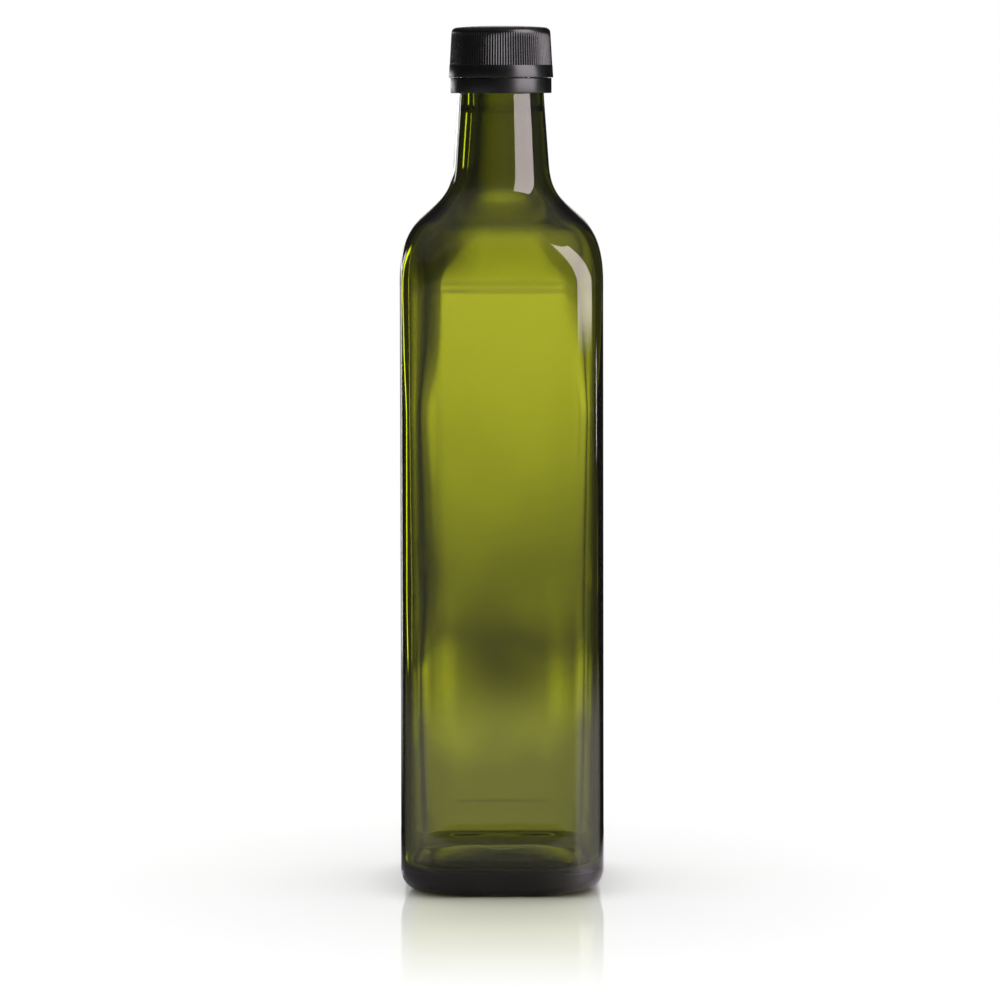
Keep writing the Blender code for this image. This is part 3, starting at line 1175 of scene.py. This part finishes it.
@dataclass
class Floor:
    """A round of white acrylic, polished where the bottle stands, with a painted shadow round the
    bottle's foot and a painted green reflection of the bottle in front of it.

    Light that has met the glass finds only a painted patch under the bottle: darker and tinted where the
    glass mirrors it, with a painted bright stretch on its right, and dark where light passes the glass;
    beyond it, the room says what the floor looks like.
    """

    radius: float = 0.45
    white: float = 0.95
    # Painted shade and reflection: shaded is the painted dark floor under the bottle that light through
    # the glass finds; mirrored is the painted darker floor that the glass mirrors.
    shaded: float = 0.14
    mirrored: float = 0.40
    # A painted bright stretch of floor to the right of the bottle, seen only where the glass mirrors it.
    lit: float = 1.5
    lit_from: Point = (0.010, 0.034)
    # Painted tint of the floor where the glass mirrors it.
    reflection_tint: Colour = (1.0, 0.90, 0.98)
    sheen: Colour = (0.92, 0.98, 1.0)
    shadow: float = 0.24
    shadow_from: Point = (0.049, 0.025)
    # Painted green reflection of the bottle on the floor in front of it.
    green_reflection: Colour = (0.995, 1.0, 0.84)
    green_reflection_sides: Point = (0.036, 0.024)
    green_reflection_front: Point = (-0.190, -0.060)
    green_reflection_back: Point = (0.020, -0.025)
    shaded_to: Point = (0.060, 0.120)
    polish_from: float = 0.020
    polish_to: float = 0.200
    squareness: float = 3.0
    roughness: float = 0.06
    rougher: float = 0.02
    cloud_scale: float = 40.0
    ior: float = 1.49
    segments: int = 128

    def reflection_tinted(self, level: float) -> Colour:
        """The painted tint of the floor where the glass mirrors it, at a level."""
        return tuple(level * part for part in self.reflection_tint)

    def finish(self) -> bpy.types.Material:
        """Makes the floor's material.

        Returns:
            The material.
        """
        material = bpy.data.materials.new("white_acrylic")
        tree = Tree(material)
        x, y, _ = tree.split(tree.place())
        off = (x * x + y * y) ** 0.5
        rays = tree.node("ShaderNodeLightPath")
        passed = Value(tree, rays.outputs["Is Transmission Ray"])
        bounced = tree.maths("MAXIMUM", Value(tree, rays.outputs["Is Glossy Ray"]), passed)
        cloud = tree.noise(evenly(self.cloud_scale), detail=3.0)
        # Painted reflection and shade: near the bottle, the floor the glass mirrors is painted darker
        # and tinted, and the floor that light through the glass finds is painted dark.
        patch = tree.mix(passed, self.reflection_tinted(self.mirrored), (self.shaded,) * 3)
        white = tree.mix(bounced, (self.white,) * 3, patch)
        # Painted bright stretch on the right, seen only in the glass's reflections.
        white = tree.mix(bounced * (1.0 - passed) * x.fade(*self.lit_from), white, self.reflection_tinted(self.lit))
        # A painted shadow round the bottle's foot, darkest next to it.
        square = (abs(x) ** self.squareness + abs(y) ** self.squareness) ** (1.0 / self.squareness)
        white = tree.mix(square.fade(*self.shadow_from) * self.shadow, white, (0.0, 0.0, 0.0))
        # A painted green reflection of the bottle on the floor in front of it.
        green_reflection = abs(x).fade(*self.green_reflection_sides) * y.fade(*self.green_reflection_front) * y.fade(*self.green_reflection_back)
        green_reflected = tree.node("ShaderNodeVectorMath", {"operation": "MULTIPLY"}, {0: white, 1: self.green_reflection})
        white = tree.mix(green_reflection, white, green_reflected.outputs[0])
        matt = tree.node("ShaderNodeBsdfDiffuse", inputs={"Color": white})
        gloss = tree.node(
            "ShaderNodeBsdfGlossy",
            inputs={"Color": self.sheen, "Roughness": self.roughness + self.rougher * cloud},
        )
        fresnel = Value(tree, tree.node("ShaderNodeFresnel", inputs={"IOR": self.ior}).outputs[0])
        share = fresnel * off.fade(self.polish_to, self.polish_from)
        polished = tree.blend(share, matt, gloss)
        gone = bounced * off.fade(*self.shaded_to)
        tree.surface(tree.blend(gone, polished, tree.node("ShaderNodeBsdfTransparent")))
        return material

    def build(self) -> bpy.types.Object:
        """Lays the floor.

        Returns:
            The floor.
        """
        bm = bmesh.new()
        bmesh.ops.create_circle(bm, cap_ends=True, segments=self.segments, radius=self.radius)
        made = hand_over(bm, "floor", self.finish())
        return made


@dataclass
class Room:
    """The white room round the stage, as each kind of ray finds it.

    Through the glass, the same view lies behind each of the bottle's faces but the one towards the
    camera: a white wall that dims towards its foot, a bright strip of floor at its foot, plainer floor
    in front of it, and ground below that. On the camera's side the wall is plainer. A pair of angles
    says where a thing starts to show and where it shows in full. They are degrees above the horizon,
    or round from straight behind the bottle, or round from the camera's side for front_left and
    front_right.
    """

    dome: float = 1.15
    dark: float = 0.05
    wall: float = 0.80
    wall_foot: Point = (-9.3, -3.8)
    wall_head: Point = (11.0, 7.5)
    upper_wall: float = 0.70
    upper_from: Point = (-2.6, -0.8)
    glow: float = 0.15
    glow_from: Point = (4.0, 7.0)
    wall_left: Point = (-13.0, -2.0)
    wall_right: Point = (24.0, 1.0)
    strip_left: Point = (-22.0, -10.0)
    strip_right: Point = (28.0, 14.0)
    horizon: Point = (-7.4, -8.1)
    strip: float = 0.34
    strip_foot: Point = (-9.3, -8.2)
    floor: float = 0.25
    floor_foot: Point = (-20.0, -14.0)
    ground: float = 0.22
    ground_from: Point = (-17.0, -27.0)
    side_light: float = 0.45
    front_wall: float = 0.30
    front_wall_foot: Point = (-22.0, 8.0)
    front_ground: float = 0.22
    ahead: Point = (98.0, 122.0)
    half_face: float = 45.0
    full_sides: Point = (40.0, 30.0)
    behind_sides: Point = (15.0, 4.0)
    behind_foot: Point = (-1.0, 2.0)
    behind_top: Point = (24.0, 8.0)
    rim: float = 0.80
    rim_from: Point = (-46.0, -40.0)
    rim_to: Point = (2.0, -2.0)
    rim_foot: Point = (-10.0, -8.0)
    rim_head: Point = (5.0, 2.0)
    ceiling: float = 0.20
    ceiling_from: Point = (25.0, 50.0)
    around: float = 0.02
    tint: Colour = (1.0, 0.94, 0.92)
    front: float = 0.11
    front_left: Point = (-30.0, 6.0)
    front_right: Point = (125.0, 100.0)
    front_sides: Point = (115.0, 35.0)
    front_foot: Point = (-1.0, 1.0)
    front_floor: float = 0.24
    near_floor: float = 0.50
    near_floor_from: Point = (-8.0, -9.0)
    near_floor_to: Point = (-10.5, -10.0)
    lit_floor: float = 1.1
    lit_floor_from: Point = (-7.6, -8.8)
    lit_left: float = 0.30
    lit_right_from: Point = (-1.0, 1.0)
    lit_from: Point = (45.0, 80.0)
    lit_to: Point = (165.0, 145.0)
    below: Point = (1.0, -1.0)

    def through(self, tree: Tree, azimuth: Value, elevation: Value) -> Value:
        """The room as light that has passed the glass finds it.

        Args:
            tree: The world's tree.
            azimuth: Degrees from straight behind the bottle.
            elevation: Degrees above the horizon.

        Returns:
            How bright the room is there.
        """
        quarter = tree.maths("WRAP", azimuth, self.half_face, -self.half_face)
        behind = abs(azimuth).fade(*self.full_sides)
        wall = self.wall * elevation.fade(*self.wall_foot) * elevation.fade(*self.wall_head)
        wall = wall * (1.0 - (1.0 - self.upper_wall) * elevation.fade(*self.upper_from))
        wall = wall + self.glow * elevation.fade(*self.glow_from) * elevation.fade(*self.wall_head)
        sides = quarter.fade(*self.wall_left) * quarter.fade(*self.wall_right)
        strip_sides = quarter.fade(*self.strip_left) * quarter.fade(*self.strip_right)
        floor = self.floor * sides + self.strip * elevation.fade(*self.strip_foot) * strip_sides
        floor = floor * elevation.fade(*self.horizon) * elevation.fade(*self.floor_foot)
        level = self.side_light + (1.0 - self.side_light) * behind
        seen = self.dark + (wall * sides + floor) * level
        seen = seen + self.ground * elevation.fade(*self.ground_from)
        beyond = self.front_wall * elevation.fade(*self.front_wall_foot)
        ahead = abs(azimuth).fade(*self.ahead)
        return seen * (1.0 - ahead) + (self.front_ground + beyond) * ahead

    def mirrored(self, tree: Tree, azimuth: Value, elevation: Value) -> Value:
        """The room as light that is mirrored by a surface finds it.

        Args:
            tree: The world's tree.
            azimuth: Degrees from straight behind the bottle.
            elevation: Degrees above the horizon.

        Returns:
            How bright the room is there.
        """
        off_front = HALF_TURN - abs(azimuth)
        behind = self.dome * abs(azimuth).fade(*self.behind_sides) * elevation.fade(*self.behind_foot)
        behind = behind * elevation.fade(*self.behind_top)
        left = azimuth.fade(*self.rim_from) * azimuth.fade(*self.rim_to)
        left = left * elevation.fade(*self.rim_foot) * elevation.fade(*self.rim_head)
        behind = behind + self.rim * left
        above = self.around + self.ceiling * elevation.fade(*self.ceiling_from)
        from_front = tree.maths("WRAP", HALF_TURN - azimuth, HALF_TURN, -HALF_TURN)
        front = self.front * from_front.fade(*self.front_left) * from_front.fade(*self.front_right)
        front = front * elevation.fade(*self.front_foot)
        near = elevation.fade(*self.near_floor_from) * elevation.fade(*self.near_floor_to)
        floor = (self.front_floor + self.near_floor * near) * off_front.fade(*self.front_sides)
        beside = abs(azimuth).fade(*self.lit_from) * abs(azimuth).fade(*self.lit_to)
        right = azimuth.fade(*self.lit_right_from)
        beside = beside * (self.lit_left + (1.0 - self.lit_left) * right)
        floor = floor + self.lit_floor * beside * elevation.fade(*self.lit_floor_from)
        return above + behind + front + floor * elevation.fade(*self.below)

    def build(self) -> None:
        """Makes the world."""
        world = bpy.data.worlds.new("room")
        bpy.context.scene.world = world
        tree = Tree(world)
        rays = tree.node("ShaderNodeLightPath")
        x, y, z = tree.split(tree.node("ShaderNodeTexCoord").outputs["Generated"])
        elevation = tree.maths("ARCSINE", z) * math.degrees(1.0)
        azimuth = tree.maths("ARCTAN2", x, y) * math.degrees(1.0)
        glossy, diffuse, passed = (
            Value(tree, rays.outputs[name])
            for name in ("Is Glossy Ray", "Is Diffuse Ray", "Is Transmission Ray")
        )
        seen = glossy * self.mirrored(tree, azimuth, elevation) + (1.0 - glossy)
        seen = diffuse * self.dome + (1.0 - diffuse) * seen
        seen = passed * self.through(tree, azimuth, elevation) + (1.0 - passed) * seen
        colour = tree.mix(glossy * (1.0 - passed), (1.0, 1.0, 1.0), self.tint)
        light = tree.node("ShaderNodeBackground", inputs={"Color": colour, "Strength": seen})
        tree.node("ShaderNodeOutputWorld", inputs={"Surface": light.outputs[0]})


@dataclass
class Camera:
    """The camera, level with the foot of the cap and far off, looking slightly down."""

    distance: float = 1.4
    height: float = 0.2685
    sideways: float = -0.00033
    pitch: float = 5.72
    roll: float = 0.11
    focal_pixels: float = 4230.0

    def build(self) -> None:
        """Makes the camera and hands it to the scene."""
        lens = bpy.data.cameras.new("camera")
        lens.sensor_width = SENSOR_WIDTH * MM_PER_METRE
        lens.lens = lens.sensor_width * self.focal_pixels / IMAGE_SIZE
        made = bpy.data.objects.new("camera", lens)
        made.location = (self.sideways, -self.distance, self.height)
        made.rotation_euler = (
            math.radians(RIGHT_ANGLE - self.pitch),
            math.radians(self.roll),
            0.0,
        )
        bpy.context.scene.collection.objects.link(made)
        bpy.context.scene.camera = made


class Studio:
    """The stage that the bottle is seen on."""

    panels = (
        LightPanel(
            "soft_box",
            azimuth=59.0,
            half_angle=26.0,
            foot=0.116,
            head=1.6,
            strength=8.0,
            colour=(1.0, 0.87, 0.91),
            soft_foot=0.032,
            through=0.12,
        ),
        LightPanel(
            "edge_light",
            azimuth=-134.0,
            half_angle=4.2,
            foot=0.036,
            head=0.29,
            strength=3.6,
            colour=(0.95, 1.0, 0.97),
            distance=0.25,
        ),
        LightPanel(
            "cap_light",
            azimuth=-153.0,
            half_angle=12.0,
            foot=0.245,
            head=0.300,
            strength=3.8,
            soft_side=4.0,
            soft_foot=0.010,
            soft_head=0.020,
            seen_by=(Ray.GLOSSY,),
        ),
        LightPanel(
            "line_light",
            azimuth=104.0,
            half_angle=2.2,
            foot=0.070,
            head=0.140,
            strength=7.0,
            colour=(1.0, 0.92, 1.0),
            soft_side=0.8,
            distance=0.8,
            seen_by=(Ray.GLOSSY,),
        ),
    )
    # Dark cards that paint shade into what the glass shows.
    flags = (
        Flag("neck_flag", 0.070, 0.0, 0.262, 0.046, 0.0440, 0.72, (0.5, 0.30)),
        Flag("left_flag", 0.073, -0.048, 0.150, 0.027, 0.085, 0.65, (0.25, 0.16)),
        Flag("left_shoulder_flag", 0.076, -0.045, 0.2200, 0.040, 0.0250, 0.83, (0.42, 0.60)),
        Flag("right_shoulder_flag", 0.079, 0.042, 0.2170, 0.030, 0.0190, 0.40, (0.27, 0.55)),
        Flag("body_flag", 0.30, 0.001, 0.030, 0.049, 0.038, 0.79, (1.0, 1.0), oval=True),
    )

    def build(self) -> None:
        """Makes the floor, the lights, the room, the camera and the dark cards that paint shade into the
        glass.
        """
        Camera().build()
        Room().build()
        Floor().build()
        for card in (*self.panels, *self.flags):
            card.build()
        bpy.context.scene.view_settings.view_transform = "Standard"


def main() -> None:
    """Builds the stage and the three pieces."""
    logging.basicConfig(level=logging.INFO, format="%(message)s")
    Studio().build()
    for part in (GlassBottle(), ScrewCap(), TamperRing()):
        made = part.build()
        part.dress(made)
        log.info("%s: %d faces", made.name, len(made.data.polygons))


if __name__ == "__main__":
    main()
